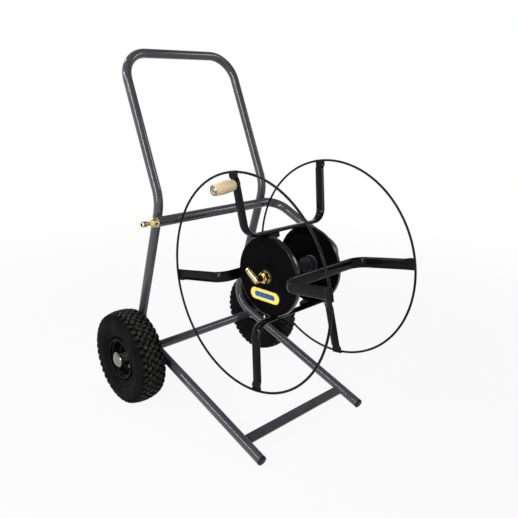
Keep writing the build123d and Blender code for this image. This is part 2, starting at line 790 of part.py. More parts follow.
def rim_half(outboard):
    """One pressed rim half: a web with round windows, the tyre's seat, and a lip rolled outwards."""
    web = press_gap + rim_sheet / 2
    seat = seat_radius - rim_sheet / 2
    lip = half_rim - rim_sheet / 2
    roll = lip_radius - rim_sheet / 2
    roll_end = lip + rim_roll_reach
    points = [(web, hub_tube_diameter / 2 + weld_gap), (web, seat), (lip, seat), (lip, roll), (roll_end, roll),
              (roll_end, roll - rim_roll_drop)]
    bends = [rim_web_bend, rim_seat_bend, rim_roll, rim_roll]
    half = revolve(trace(FilletPolyline(*points, radius=bends), rim_sheet), Axis.X)
    for number in range(rim_window_count):
        window = on_hole_circle(number) * Rot(0, 90, 0)
        bolt = on_hole_circle(number + 0.5) * Rot(0, 90, 0)
        half -= window * Cylinder(rim_window_diameter / 2, 4 * rim_sheet)
        half -= bolt * Cylinder(rim_bolt_diameter / 2 + press_gap, 4 * rim_sheet)
    if outboard:
        return half - valve_stem(press_gap)
    return mirror(half, Plane.YZ)


def rim_bolts():
    """Bolts and nuts that hold the two rim halves together between the windows."""
    grip = rim_sheet + press_gap
    head = grip + rim_bolt_head
    bolt = ring_between(-head - rim_bolt_tail, head, 0, rim_bolt_diameter / 2, middle)
    bolt += hexagon(grip, head, rim_bolt_hex_width, middle)
    bolt += hexagon(-head, -grip, rim_bolt_hex_width, middle)
    return Compound(children=[on_hole_circle(step + 0.5) * bolt for step in range(rim_window_count)])


def hub_tube():
    """The steel tube through the middle of both rim halves."""
    outer = hub_tube_diameter / 2
    start = -hub_inner_end + hub_bush_flange
    return ring_between(start, hub_outer_end - hub_bush_flange, outer - hub_tube_wall, outer, middle)


def hub_bushes():
    """Two flanged bushes, pressed into the hub tube, that run on the axle."""
    bore = axle_radius + running_gap
    body = hub_tube_diameter / 2 - hub_tube_wall - press_gap
    flange = hub_tube_diameter / 2
    bushes = []
    for side, end in ((-1, hub_inner_end), (1, hub_outer_end)):
        outline = [
            (side * (end - hub_bush_length), bore), (side * end, bore), (side * end, flange),
            (side * (end - hub_bush_flange + press_gap), flange),
            (side * (end - hub_bush_flange + press_gap), body), (side * (end - hub_bush_length), body)]
        bushes.append(turned(outline, middle))
    return Compound(children=bushes)


def rightwards(piece):
    """Puts a wheel piece at the right wheel."""
    return Pos(*wheel_centre) * piece


# ---------------------------------------------------------------- assembly
frame_envelope = frame_sweep(tube_radius + weld_gap)

nodes = {
    "frame_tube": frame_sweep(tube_radius, tube_wall),
    "front_strip": front_strip(frame_envelope),
    "axle_tube": axle_tube(frame_envelope),
    "axle_rod": axle_rod(),
    "water_pipe": water_pipe(),
    "inlet_adaptor": inlet_adaptor(),
    "inlet_nose": inlet_nose(),
    "inlet_seal": inlet_seal(),
    "outlet_adaptor": outlet_adaptor(),
    "reel_thrust_washer": thrust_washer(),
    "reel_stop_collar": stop_collar(),
    "swivel_elbow": swivel_elbow(),
    "swivel_seal": swivel_seal(),
    "outlet_nose": outlet_nose(),
    "outlet_seal": outlet_seal(),
    "near_ring": wire_ring(-1),
    "far_ring": wire_ring(1),
    "near_disc": hub_disc(-1),
    "far_disc": hub_disc(1),
    "near_gussets": gussets(-1),
    "far_gussets": gussets(1),
    "near_hub_collar": hub_collar(-1),
    "far_hub_collar": hub_collar(1),
    "near_reel_bush": reel_bush(-1),
    "far_reel_bush": reel_bush(1),
    "wooden_grip": wooden_grip(),
    "grip_sleeve": grip_sleeve(),
    "grip_spindle": grip_spindle(),
    "grip_washers": grip_washers(),
    "grip_lock_nut": lock_nut(),
}

for number, place in enumerate(("front", "top", "rear", "bottom")):
    nodes[place + "_spoke_tube"] = spoke_tube(number)
nodes["top_spoke_tube"] -= spindle_hole()

right_side = {
    "foot_cap": foot_cap(half_tubes),
    "axle_bush": axle_bush(),
    "wheel_washers": wheel_washers(),
    "hub_cap": hub_cap(),
    "tyre": rightwards(tyre()),
    "inner_tube": rightwards(inner_tube()),
    "outer_rim_half": rightwards(rim_half(True)),
    "inner_rim_half": rightwards(rim_half(False)),
    "valve": rightwards(valve_stem()),
    "rim_bolts": rightwards(rim_bolts()),
    "hub_tube": rightwards(hub_tube()),
    "hub_bushes": rightwards(hub_bushes()),
}
for name, piece in right_side.items():
    nodes["right_" + name] = piece
    nodes["left_" + name] = mirror(piece, Plane.YZ)

os.makedirs("parts", exist_ok=True)
for name, piece in nodes.items():
    export_step(piece, "parts/" + name + ".step")
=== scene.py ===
"""Looks of the garden hose reel cart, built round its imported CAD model.

X runs across the cart, Y from the feet back to the wheels, Z up. All lengths are in metres.
"""
import json
from math import cos, pi, radians, sin, sqrt

import bpy
from mathutils import Matrix, Vector


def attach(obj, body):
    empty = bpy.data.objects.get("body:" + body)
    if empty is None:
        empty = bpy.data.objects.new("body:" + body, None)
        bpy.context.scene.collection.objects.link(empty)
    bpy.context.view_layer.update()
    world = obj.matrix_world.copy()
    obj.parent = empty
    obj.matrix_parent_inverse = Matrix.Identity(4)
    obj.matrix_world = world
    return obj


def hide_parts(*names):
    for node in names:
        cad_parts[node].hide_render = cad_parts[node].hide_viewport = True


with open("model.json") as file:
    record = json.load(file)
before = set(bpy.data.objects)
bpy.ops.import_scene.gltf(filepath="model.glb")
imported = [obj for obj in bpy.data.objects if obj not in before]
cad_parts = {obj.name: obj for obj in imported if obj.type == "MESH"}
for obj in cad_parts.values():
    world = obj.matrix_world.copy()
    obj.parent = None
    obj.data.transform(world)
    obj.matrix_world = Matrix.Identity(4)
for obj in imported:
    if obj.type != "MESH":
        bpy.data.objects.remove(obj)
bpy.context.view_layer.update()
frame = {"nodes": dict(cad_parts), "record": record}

MM = 0.001

# ---------------------------------------------------------------- places on the cart
AXLE_Y, AXLE_Z = 0.24175, 0.130
WHEEL_X = 0.2545
TUBE_X = 0.1874
TUBE_R = 0.0125
PIPE_R = 0.01345
REEL = Vector((0.015, -0.10225, 0.4125))
HALF_RINGS = 0.160
HALF_DISCS = 0.083
DISC_R = 0.103
RING_R = 0.2665
REEL_ANGLE = 10.4
FOOT = Vector((0.0, -0.21925, 0.0122645))
REAR_CORNER = Vector((0.0, 0.29475, 0.168))
KINK = Vector((0.0, 0.17875, 0.570))
CROSSBAR = Vector((0.0, 0.16592, 0.5205))
LEG_ALONG = (REAR_CORNER - FOOT).normalized()
LEG_UP = Vector((1, 0, 0)).cross(LEG_ALONG)
UPRIGHT_ALONG = (KINK - REAR_CORNER).normalized()
UPRIGHT_FRONT = Vector((0, -UPRIGHT_ALONG.z, UPRIGHT_ALONG.y))
SIDEWAYS = Vector((1, 0, 0))
SIDES = (("left", -1), ("right", 1))
REEL_SIDES = (("near", -1), ("far", 1))


# ---------------------------------------------------------------- node helpers
# Sockets of the Mix node when it mixes colours. They share their names with others, so they go by
# number.
MIX_AMOUNT, MIX_FIRST, MIX_SECOND, MIX_RESULT = 0, 6, 7, 2


class Surface:
    """A procedural material: its nodes are added one by one and joined to the main shader."""

    def __init__(self, name, color, rough, metallic=0.0, coat=0.0, coat_rough=0.1, specular=0.5):
        self.material = bpy.data.materials.new(name)
        self.material.use_nodes = True
        self.tree = self.material.node_tree
        self.shader = self.tree.nodes["Principled BSDF"]
        values = {"Base Color": (*color, 1.0), "Roughness": rough, "Metallic": metallic,
                  "Coat Weight": coat, "Coat Roughness": coat_rough, "Specular IOR Level": specular}
        for socket, value in values.items():
            self.shader.inputs[socket].default_value = value
        self.normal = None

    def node(self, kind, **settings):
        made = self.tree.nodes.new(kind)
        for key, value in settings.items():
            setattr(made, key, value)
        return made

    def link(self, source, target):
        self.tree.links.new(source, target)

    def feed(self, socket, value):
        """Gives an input a link, a number or a colour."""
        if isinstance(value, bpy.types.NodeSocket):
            self.link(value, socket)
        elif isinstance(value, (int, float)):
            socket.default_value = value
        else:
            socket.default_value = (*value, 1.0)

    def place(self, stretch=(1.0, 1.0, 1.0)):
        """Object coordinates, in metres, stretched."""
        coordinates = self.node("ShaderNodeTexCoord").outputs["Object"]
        mapping = self.node("ShaderNodeMapping")
        mapping.inputs["Scale"].default_value = stretch
        self.link(coordinates, mapping.inputs["Vector"])
        return mapping.outputs["Vector"]

    def noise(self, scale, detail=3.0, rough=0.5, stretch=(1.0, 1.0, 1.0), distortion=0.0):
        made = self.node("ShaderNodeTexNoise")
        made.inputs["Scale"].default_value = scale
        made.inputs["Detail"].default_value = detail
        made.inputs["Roughness"].default_value = rough
        made.inputs["Distortion"].default_value = distortion
        self.link(self.place(stretch), made.inputs["Vector"])
        return made.outputs["Fac"]

    def spread(self, value, low, high, to_low=0.0, to_high=1.0):
        """A value from low to high, spread from to_low to to_high and clamped there."""
        made = self.node("ShaderNodeMapRange")
        made.clamp = True
        set_range(made, low, high, to_low, to_high)
        self.link(value, made.inputs["Value"])
        return made.outputs["Result"]

    def mix(self, amount, first, second):
        """Colours or sockets, mixed by an amount."""
        made = self.node("ShaderNodeMix", data_type="RGBA")
        for socket, value in ((MIX_AMOUNT, amount), (MIX_FIRST, first), (MIX_SECOND, second)):
            self.feed(made.inputs[socket], value)
        return made.outputs[MIX_RESULT]

    def from_line(self, y, z):
        """Distance from a line along X."""
        place = self.node("ShaderNodeMapping")
        place.inputs["Location"].default_value = (0, -y, -z)
        self.link(self.place((0.0, 1.0, 1.0)), place.inputs["Vector"])
        length = self.node("ShaderNodeVectorMath", operation="LENGTH")
        self.link(place.outputs["Vector"], length.inputs[0])
        return length.outputs["Value"]

    def multiply(self, first, second):
        made = self.node("ShaderNodeMath", operation="MULTIPLY")
        for socket, value in zip(made.inputs, (first, second)):
            self.feed(socket, value)
        return made.outputs[0]

    def tint(self, value):
        self.link(value, self.shader.inputs["Base Color"])

    def roughen(self, value, low, high):
        """Roughness from low to high, over the middle of a noise."""
        self.link(self.spread(value, 0.3, 0.7, low, high), self.shader.inputs["Roughness"])

    def bump(self, height, distance, strength=1.0):
        """Adds a layer of bump over those already there."""
        made = self.node("ShaderNodeBump")
        made.inputs["Strength"].default_value = strength
        made.inputs["Distance"].default_value = distance
        self.link(height, made.inputs["Height"])
        if self.normal:
            self.link(self.normal, made.inputs["Normal"])
        self.normal = made.outputs["Normal"]
        self.link(self.normal, self.shader.inputs["Normal"])


def set_range(node, low, high, to_low, to_high):
    """Sets the four numbers of a Map Range node."""
    numbers = {"From Min": low, "From Max": high, "To Min": to_low, "To Max": to_high}
    for socket, number in numbers.items():
        node.inputs[socket].default_value = number


def shade(color, factor):
    return tuple(c * factor for c in color)


# Paint on a disc's edge: how far inside it the rubbed gloss begins, and where it is full.
RUB_BEGINS, RUB_FULL = 0.0035, 0.0005
# Distance from the axle at which a tread begins to be scuffed and given painted sheen, and where both
# are full.
SCUFF_SHEEN_BEGINS, SCUFF_SHEEN_FULL = 0.1225, 0.1275


def powder_coat(name, color, rough, specular, peel=0.000008, edge=None):
    """Sprayed and baked paint: orange peel, soft blotches, dust and a few dull rubs.

    An edge (y, z, radius, gloss) about a line along X is rubbed glossy by the hose.
    """
    made = Surface(name, color, rough, specular=specular)
    blotch = made.noise(14.0, 2.0)
    body = made.mix(made.spread(blotch, 0.35, 0.7), shade(color, 0.88), shade(color, 1.12))
    specks = made.noise(2600.0, 1.0)
    made.tint(made.mix(made.spread(specks, 0.66, 0.74, 0.0, 0.35), body, shade(color, 1.9)))
    made.roughen(made.noise(45.0, 4.0), rough * 0.85, rough * 1.3)
    if edge:
        y, z, radius, gloss = edge
        rubbed_and_sheen = made.spread(made.from_line(y, z), radius - RUB_BEGINS, radius - RUB_FULL,
                             specular, gloss)
        made.link(rubbed_and_sheen, made.shader.inputs["Specular IOR Level"])
    made.bump(made.noise(750.0, 2.0), peel)
    made.bump(made.noise(120.0, 2.0), 0.00003, 0.5)
    return made.material


def turned_metal(name, color, rough, dull=0.75, lines=900.0, bore=None):
    """Machined metal with fine turning marks and a little tarnish.

    The bore (y, z, radius) along X has painted shade: the colour is darkened inside it, standing in for
    the shade down the hole.
    """
    made = Surface(name, color, rough, metallic=1.0)
    tarnish = made.noise(160.0, 4.0)
    body = made.mix(made.spread(tarnish, 0.42, 0.72), color, shade(color, dull))
    if bore:
        y, z, radius = bore
        # Painted shade: the colour goes nearly black inside the bore.
        outside = made.spread(made.from_line(y, z), radius * 1.01, radius * 1.08)
        body = made.mix(outside, shade(color, 0.05), body)
    made.tint(body)
    made.roughen(made.noise(300.0, 3.0), rough * 0.8, rough * 1.5)
    made.bump(made.noise(lines, 2.0, stretch=(3.0, 0.2, 0.2)), 0.000014)
    return made.material


def rubber(name, color, rough, scuffs_and_sheen=0.0):
    """Moulded rubber with a fine grain and faint bloom.

    Scuffing on the outer tread is partly real dust and wear and partly painted sheen standing in for
    the lamps' highlights on the lug tops. It is paler the further it is from the axle.
    """
    made = Surface(name, color, rough, specular=0.03)
    bloom = made.noise(22.0, 5.0, 0.6)
    body = made.mix(made.spread(bloom, 0.4, 0.75), color, shade(color, 1.8))
    if scuffs_and_sheen:
        rubbed_and_sheen = made.spread(made.noise(170.0, 6.0, 0.65), 0.42, 0.62)
        outward = made.spread(made.from_line(AXLE_Y, AXLE_Z), SCUFF_SHEEN_BEGINS, SCUFF_SHEEN_FULL)
        worn_and_sheen = made.multiply(outward, rubbed_and_sheen)
        # Painted sheen with real scuffing: the outer tread is lightened up to twenty times, partly dust
        # and wear, partly a painted highlight on the lug tops.
        body = made.mix(made.multiply(worn_and_sheen, scuffs_and_sheen), body, shade(color, 20.0))
    made.tint(body)
    made.roughen(made.noise(60.0, 4.0), rough * 0.85, min(1.0, rough * 1.15))
    made.bump(made.noise(1400.0, 3.0), 0.00015, 0.7)
    made.bump(made.noise(260.0, 3.0), 0.0003, 0.5)
    return made.material


def wood(name, color):
    """Pale turned beech: long soft grain along X with short darker flecks and faint tool rings."""
    made = Surface(name, color, 0.42, coat=0.1, coat_rough=0.3, specular=0.35)
    grain = made.noise(110.0, 5.0, 0.55, stretch=(0.06, 1.0, 1.0), distortion=0.3)
    flecks = made.noise(620.0, 2.0, stretch=(0.12, 1.0, 1.0))
    late = (color[0] * 0.90, color[1] * 0.84, color[2] * 0.74)
    pore = (color[0] * 0.70, color[1] * 0.58, color[2] * 0.46)
    body = made.mix(made.spread(grain, 0.35, 0.68), shade(color, 1.04), late)
    made.tint(made.mix(made.spread(flecks, 0.62, 0.78, 0.0, 0.22), body, pore))
    made.roughen(grain, 0.36, 0.5)
    made.bump(grain, 0.0001, 0.5)
    made.bump(flecks, 0.00004, 0.4)
    made.bump(made.noise(420.0, 1.0, stretch=(1.0, 0.05, 0.05)), 0.00004, 0.4)
    return made.material


def plastic(name, color, rough):
    """Moulded plastic with a fine spark-eroded texture."""
    made = Surface(name, color, rough, specular=0.12)
    made.tint(made.mix(made.spread(made.noise(35.0, 3.0), 0.35, 0.7), color, shade(color, 1.5)))
    made.roughen(made.noise(90.0, 3.0), rough * 0.85, rough * 1.2)
    made.bump(made.noise(1600.0, 2.0), 0.0001, 0.6)
    return made.material


def enamel(name, color, rough):
    """Glossy enamel on a pressed plate, a little uneven where it has flowed."""
    made = Surface(name, color, rough, specular=0.3)
    uneven = made.spread(made.noise(60.0, 3.0), 0.35, 0.7)
    made.tint(made.mix(uneven, shade(color, 0.94), shade(color, 1.05)))
    made.roughen(made.noise(130.0, 3.0), rough * 0.8, rough * 1.25)
    made.bump(made.noise(220.0, 2.0), 0.00012, 0.5)
    return made.material


BRASS = (0.74, 0.60, 0.29)
MATERIALS = {
    "grey_paint": powder_coat("grey_powder_coat", (0.047, 0.046, 0.056), 0.12, 0.46),
    "black_paint": powder_coat("black_powder_coat", (0.0030, 0.0030, 0.0033), 0.13, 0.11),
    "rim_paint": powder_coat("black_rim_paint", (0.0036, 0.0036, 0.0039), 0.24, 0.06),
    # The tyre's tread gets scuffing and painted sheen.
    "tyre_rubber": rubber("tyre_rubber", (0.0032, 0.0032, 0.0031), 0.6, scuffs_and_sheen=0.9),
    "seal_rubber": rubber("seal_rubber", (0.008, 0.008, 0.008), 0.5),
    "brass": turned_metal("turned_brass", BRASS, 0.17, dull=0.62),
    "steel": turned_metal("zinc_steel", (0.50, 0.50, 0.51), 0.33),
    "chrome": turned_metal("chrome", (0.25, 0.242, 0.232), 0.12, dull=0.92, lines=300.0),
    "wood": wood("turned_beech", (0.87, 0.69, 0.45)),
    "black_plastic": plastic("black_moulded_plastic", (0.008, 0.008, 0.008), 0.42),
}
DISC_PAINT = powder_coat("black_disc_powder_coat", (0.0022, 0.0022, 0.0024), 0.2, 0.015,
                         edge=(REEL.y, REEL.z, DISC_R, 0.45))
# Brass for the inlet nose, with painted shade inside its bore.
NOSE_BRASS_BORE_SHADE = turned_metal("brass_with_painted_bore_shade", BRASS, 0.17, dull=0.62, bore=(CROSSBAR.y, CROSSBAR.z, 0.004))
OWN_MATERIALS = {"near_disc": DISC_PAINT, "far_disc": DISC_PAINT, "inlet_nose": NOSE_BRASS_BORE_SHADE}
PLATE_ENAMELS = (
    enamel("yellow_enamel", (0.78, 0.57, 0.035), 0.28),
    enamel("amber_enamel", (0.80, 0.60, 0.12), 0.34),
    enamel("white_enamel", (0.70, 0.70, 0.66), 0.3),
    enamel("blue_enamel", (0.03, 0.088, 0.18), 0.26),
)


def dress(piece, slot, body, material=None):
    """Gives a piece the material of its slot, or the one given, and the body that it rides on."""
    piece.data.materials.clear()
    piece.data.materials.append(material or MATERIALS[slot])
    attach(piece, body)
    return piece


for part in frame["record"]["subparts"]:
    node = frame["nodes"][part["node"]]
    node.data.materials.clear()
    node.data.materials.append(OWN_MATERIALS.get(part["node"], MATERIALS[part["material_slot"]]))


# ---------------------------------------------------------------- mesh helpers
def mesh_piece(name, points, faces, smooth_angle=35.0):
    """An object made of points and faces, smooth except at sharp edges."""
    mesh = bpy.data.meshes.new(name)
    mesh.from_pydata([tuple(p) for p in points], [], faces)
    mesh.update()
    piece = bpy.data.objects.new(name, mesh)
    bpy.context.scene.collection.objects.link(piece)
    mesh.shade_smooth()
    mesh.set_sharp_from_angle(angle=radians(smooth_angle))
    return piece


BEAD_RIPPLE = 0.18
BEAD_PITCH = 0.0028
BEAD_SIDES = 8
BEAD_END = 0.35


def bead(name, path, radius, closed=False):
    """A weld bead along a path: a lumpy half-buried rope of overlapping scales."""
    lengths = [0.0]
    for start, end in zip(path, path[1:]):
        lengths.append(lengths[-1] + (end - start).length)
    points, faces = [], []
    for k, (here, so_far) in enumerate(zip(path, lengths)):
        ahead = path[(k + 1) % len(path)] if closed else path[min(k + 1, len(path) - 1)]
        behind = path[k - 1] if closed or k else path[0]
        along = (ahead - behind).normalized()
        if k == 0:
            across = along.orthogonal().normalized()
        else:
            across = (across - along * across.dot(along)).normalized()
        up = along.cross(across)
        size = radius * (1 + BEAD_RIPPLE * cos(2 * pi * so_far / BEAD_PITCH))
        if not closed and k in (0, len(path) - 1):
            size *= BEAD_END
        for side in range(BEAD_SIDES):
            turn = 2 * pi * side / BEAD_SIDES
            points.append(here + (across * cos(turn) + up * sin(turn)) * size)
    count = len(path)
    for k in range(count if closed else count - 1):
        for side in range(BEAD_SIDES):
            a, b = k * BEAD_SIDES, (k + 1) % count * BEAD_SIDES
            s, t = side, (side + 1) % BEAD_SIDES
            faces.append((a + s, b + s, b + t, a + t))
    if not closed:
        faces.append(tuple(range(BEAD_SIDES)))
        faces.append(tuple(reversed(range((count - 1) * BEAD_SIDES, count * BEAD_SIDES))))
    return mesh_piece(name, points, faces, 80.0)


# ---------------------------------------------------------------- weld beads
CROSSBAR_WELD_REACH = 0.0083
AXLE_WELD_REACH = 0.0096
STRIP_FROM_FOOT = 0.064
STRIP_END_INSIDE = 0.0121  # from the middle of a leg
STRIP_HALF_WIDTH = 0.0125
STRIP_LIFT = 0.0022
DISC_WELD_SPAN = (0.044, 0.007)  # from the plane of a disc, towards the middle
DISC_WELD_LIFT = 0.0006
DISC_WELD_ACROSS = 0.0098
COLLAR_WELD_R = 0.0215
COLLAR_WELD_INSIDE = 0.0022
# Beads inside and outside the wire: distance inwards, distance out from the wire, half length, radius.
RING_WELDS = (("inner", 0.0028, -0.0030, 0.0135, 0.0015), ("outer", 0.0030, 0.0012, 0.0140, 0.0013))


def loop(centre, first, second, rise, steps=40):
    """A closed path around a centre.

    first and second are its half axes, and rise(turn) lifts it off their plane.
    """
    path = []
    for step in range(steps):
        turn = 2 * pi * step / steps
        path.append(centre + first * cos(turn) + second * sin(turn) + rise(turn))
    return path


def run(start, end, steps=14):
    """A straight path."""
    return [start + (end - start) * step / steps for step in range(steps + 1)]


def crossbar_weld(x):
    """The bead round the place where the crossbar lies against an upright."""
    centre = CROSSBAR - UPRIGHT_FRONT * PIPE_R + SIDEWAYS * x
    reach = CROSSBAR_WELD_REACH

    def rise(turn):
        behind = (reach * cos(turn)) ** 2 / (2 * TUBE_R)
        ahead = (reach * sin(turn)) ** 2 / (2 * PIPE_R)
        return UPRIGHT_FRONT * (ahead - behind) / 2

    return loop(centre, SIDEWAYS * reach, UPRIGHT_ALONG * reach, rise)


def axle_weld(x):
    """The bead round the notch where a leg rests in the axle tube."""
    axle = Vector((x, AXLE_Y, AXLE_Z))
    reach = AXLE_WELD_REACH

    def rise(turn):
        return LEG_UP * sqrt(TUBE_R ** 2 - (reach * sin(turn)) ** 2)

    return loop(axle, SIDEWAYS * reach, LEG_ALONG * reach, rise)


def on_reel(along, radius, angle, across=0.0):
    """A point of the reel: along its axis, out from it at an angle, and across the way out."""
    turn = radians(angle)
    out = Vector((0, -cos(turn), sin(turn)))
    side = Vector((0, sin(turn), cos(turn)))
    return REEL + SIDEWAYS * along + out * radius + side * across


def ring_weld(along, radius, angle, half_length, steps=12):
    """A short bead along the wire ring."""
    half_turn = half_length / radius * 180 / pi
    return [on_reel(along, radius, angle + half_turn * (2 * k / steps - 1)) for k in range(steps + 1)]


for name, side in SIDES:
    x = side * TUBE_X
    dress(bead(name + "_crossbar_weld", crossbar_weld(x), 0.0022, closed=True), "grey_paint", "frame")
    dress(bead(name + "_axle_weld", axle_weld(x), 0.0021, closed=True), "grey_paint", "frame")
    strip = FOOT + LEG_ALONG * STRIP_FROM_FOOT + SIDEWAYS * side * (TUBE_X - STRIP_END_INSIDE)
    for face, lift in (("upper", STRIP_LIFT), ("lower", -STRIP_LIFT)):
        middle = strip + LEG_UP * lift
        path = run(middle - LEG_ALONG * STRIP_HALF_WIDTH, middle + LEG_ALONG * STRIP_HALF_WIDTH)
        dress(bead(name + "_strip_weld_" + face, path, 0.0019), "grey_paint", "frame")

for number, place in enumerate(("front", "top", "rear", "bottom")):
    angle = REEL_ANGLE + 90 * number
    for name, side in REEL_SIDES:
        for edge, across in (("left", -DISC_WELD_ACROSS), ("right", DISC_WELD_ACROSS)):
            ends = [on_reel(side * (HALF_DISCS - inwards), DISC_R + DISC_WELD_LIFT, angle, across)
                    for inwards in DISC_WELD_SPAN]
            piece = bead("_".join((place, name, "disc_weld", edge)), run(*ends, 20), 0.0016)
            dress(piece, "black_paint", "reel")
        for edge, inwards, outwards, half_length, radius in RING_WELDS:
            path = ring_weld(side * (HALF_RINGS - inwards), RING_R + outwards, angle, half_length)
            dress(bead("_".join((place, name, "ring_weld", edge)), path, radius), "black_paint", "reel")

for name, side in REEL_SIDES:
    centre = REEL + SIDEWAYS * side * (HALF_DISCS - COLLAR_WELD_INSIDE)
    half_axes = Vector((0, COLLAR_WELD_R, 0)), Vector((0, 0, COLLAR_WELD_R))
    path = loop(centre, *half_axes, lambda turn: Vector((0, 0, 0)), 72)
    dress(bead(name + "_collar_weld", path, 0.0018, closed=True), "grey_paint", "reel")


# ---------------------------------------------------------------- plain oval plate on the near disc
def pill(half_length, radius, steps=16):
    """An upright oval outline with straight long sides, as (across, up) pairs."""
    outline = []
    for centre, first in ((half_length - radius, -90), (radius - half_length, 90)):
        for k in range(steps + 1):
            turn = radians(first + 180 * k / steps)
            outline.append((centre + radius * cos(turn), radius * sin(turn)))
    return outline


def layered(name, layers, place, tilt, slots):
    """A plate of stacked outlines: each layer is (half length, radius, height off the disc).

    slots has a material number for the band above each layer, and for the top. Returns the plate and
    the number of each face.
    """
    points, faces, kinds = [], [], []
    for half_length, radius, height in layers:
        for across, up in pill(half_length, radius):
            turned = (across * cos(tilt) - up * sin(tilt), across * sin(tilt) + up * cos(tilt))
            points.append(place + Vector((-height, turned[0], turned[1])))
    count = len(points) // len(layers)
    for layer in range(len(layers) - 1):
        for k in range(count):
            here, there = layer * count + k, layer * count + (k + 1) % count
            faces.append((here, there, there + count, here + count))
            kinds.append(slots[layer])
    faces.append(tuple(range((len(layers) - 1) * count, len(layers) * count)))
    kinds.append(slots[-1])
    piece = mesh_piece(name, points, faces, 30.0)
    return piece, kinds


PLATE = [(0.0500, 0.0150, -0.0002), (0.0500, 0.0150, 0.0009), (0.0496, 0.0146, 0.0014),
         (0.0478, 0.0128, 0.0014), (0.0474, 0.0124, 0.0010), (0.0368, 0.0083, 0.0010),
         (0.0366, 0.0081, 0.0013), (0.0358, 0.0073, 0.0013), (0.0356, 0.0071, 0.0012)]
YELLOW, AMBER, WHITE, BLUE = range(len(PLATE_ENAMELS))
PLATE_SLOTS = [YELLOW, YELLOW, YELLOW, YELLOW, AMBER, WHITE, WHITE, WHITE, BLUE]
PLATE_PLACE = REEL + Vector((-HALF_DISCS, 0.0045, -0.051))
PLATE_TILT = radians(-3.0)

plate, kinds = layered("oval_plate", PLATE, PLATE_PLACE, PLATE_TILT, PLATE_SLOTS)
dress(plate, "black_plastic", "reel", PLATE_ENAMELS[YELLOW])
for finish in PLATE_ENAMELS[AMBER:]:
    plate.data.materials.append(finish)
for face, kind in zip(plate.data.polygons, kinds):
    face.material_index = kind


# ---------------------------------------------------------------- cap over the grip's rounded end
GRIP_AXIS = Vector((0.995056, 0.017929, 0.097688))
GRIP_END = Vector((-0.175463, -0.060202, 0.641601)) - GRIP_AXIS * 0.03035
END_ROUND = 0.0045
END_FLAT_R = 0.00875
CAP_HOLE_R = 0.0077
CAP_ARC = 58.0
CAP_OUTSIDE, CAP_INSIDE = 0.0005, 0.00004  # off the wood


def end_cap(name, steps=64, arcs=8):
    """A thin pressed ring that wraps the rounded end and dips towards the screw's head."""
    outline = [(0.0002, CAP_HOLE_R), (0.00045, 0.0081)]
    for offset, order in ((CAP_OUTSIDE, range(arcs + 1)), (CAP_INSIDE, range(arcs, -1, -1))):
        radius = END_ROUND + offset
        for k in order:
            turn = radians(CAP_ARC * k / arcs)
            outline.append((-END_ROUND + radius * cos(turn), END_FLAT_R + radius * sin(turn)))
    outline.append((0.00002, CAP_HOLE_R))
    across = GRIP_AXIS.orthogonal().normalized()
    up = GRIP_AXIS.cross(across)
    points, faces = [], []
    count = len(outline)
    for step in range(steps):
        turn = 2 * pi * step / steps
        out = across * cos(turn) + up * sin(turn)
        points += [GRIP_END - GRIP_AXIS * along + out * radius for along, radius in outline]
        here, there = step * count, (step + 1) % steps * count
        for k in range(count):
            after = (k + 1) % count
            faces.append((here + k, here + after, there + after, there + k))
    return mesh_piece(name, points, faces, 35.0)


dress(end_cap("grip_end_cap"), "chrome", "grip")


# ---------------------------------------------------------------- tyres
# Shares of the pitch from lug to lug, then points of the section in millimetres, each of them
# (from the middle, radius).
LUGS = 40
LUG_SHARE = 0.62
LUG_SLOPE = 0.05
LUG_STEPS = (0.0, 0.05, 0.07, 0.12, 0.31, 0.5, 0.55, 0.57, 0.62, 0.81)
ROWS = ((1.9, 9.3), (13.1, 20.5), (24.3, 33.5))
SIDE_BASE = ((33.0, 120.0), (35.2, 117.2), (37.0, 113.4), (38.3, 109.0))
SIDE_LUG = ((33.5, 124.4), (36.6, 119.4), (38.7, 113.8), (38.8, 109.4))
SIDE_WALL = ((39.5, 104.0), (39.9, 101.2), (41.0, 100.2), (41.0, 97.6), (39.9, 96.6), (40.3, 92.0),
             (40.3, 86.0), (39.6, 80.4), (38.5, 79.6), (38.1, 77.4), (39.2, 76.4), (39.0, 73.4),
             (37.0, 72.4), (35.2, 69.0), (33.2, 65.6), (28.8, 61.6), (24.2, 59.4), (24.2, 50.15))
INSIDE = ((20.0, 50.15), (20.0, 60.5), (29.0, 66.0), (34.5, 75.0), (35.8, 88.0), (33.0, 106.0),
          (27.0, 115.0), (12.0, 120.0))
GROOVE_EDGE = 0.7


def crown(x):
    """Radius of the tread between the lugs."""
    return 125.2 - 6.0 * (x / 33.0) ** 2


def lug_top(x):
    """Radius of the tops of the lugs."""
    return 130.0 - 5.6 * (x / 33.5) ** 2.2


def lug_height(part, phase):
    """How far a lug stands up at a part of the pitch, from 0 between lugs to 1 on one."""
    here = (part - phase) % 1.0
    if here < LUG_SLOPE:
        return here / LUG_SLOPE
    if here < LUG_SHARE - LUG_SLOPE:
        return 1.0
    return max(0.0, (LUG_SHARE - here) / LUG_SLOPE)


def tyre_half(part, stagger):
    """Half of the tyre's section: from the middle of the tread to its bead, and its inside."""
    half = [(0.0, crown(0.0)), (1.1, crown(1.1))]
    for row, (start, end) in enumerate(ROWS):
        height = lug_height(part, 0.5 * ((row + stagger) % 2))
        stations = [start, (start + end) / 2, end]
        if row == 2:
            stations = [start, (start + end) / 2]
        half += [(x, crown(x) + height * (lug_top(x) - crown(x))) for x in stations]
        if row < 2:
            groove = end + GROOVE_EDGE, ROWS[row + 1][0] - GROOVE_EDGE
            half += [(x, crown(x)) for x in groove]
    for (base_x, base_r), (lug_x, lug_r) in zip(SIDE_BASE, SIDE_LUG):
        half.append((base_x + height * (lug_x - base_x), base_r + height * (lug_r - base_r)))
    return half + list(SIDE_WALL), list(INSIDE)


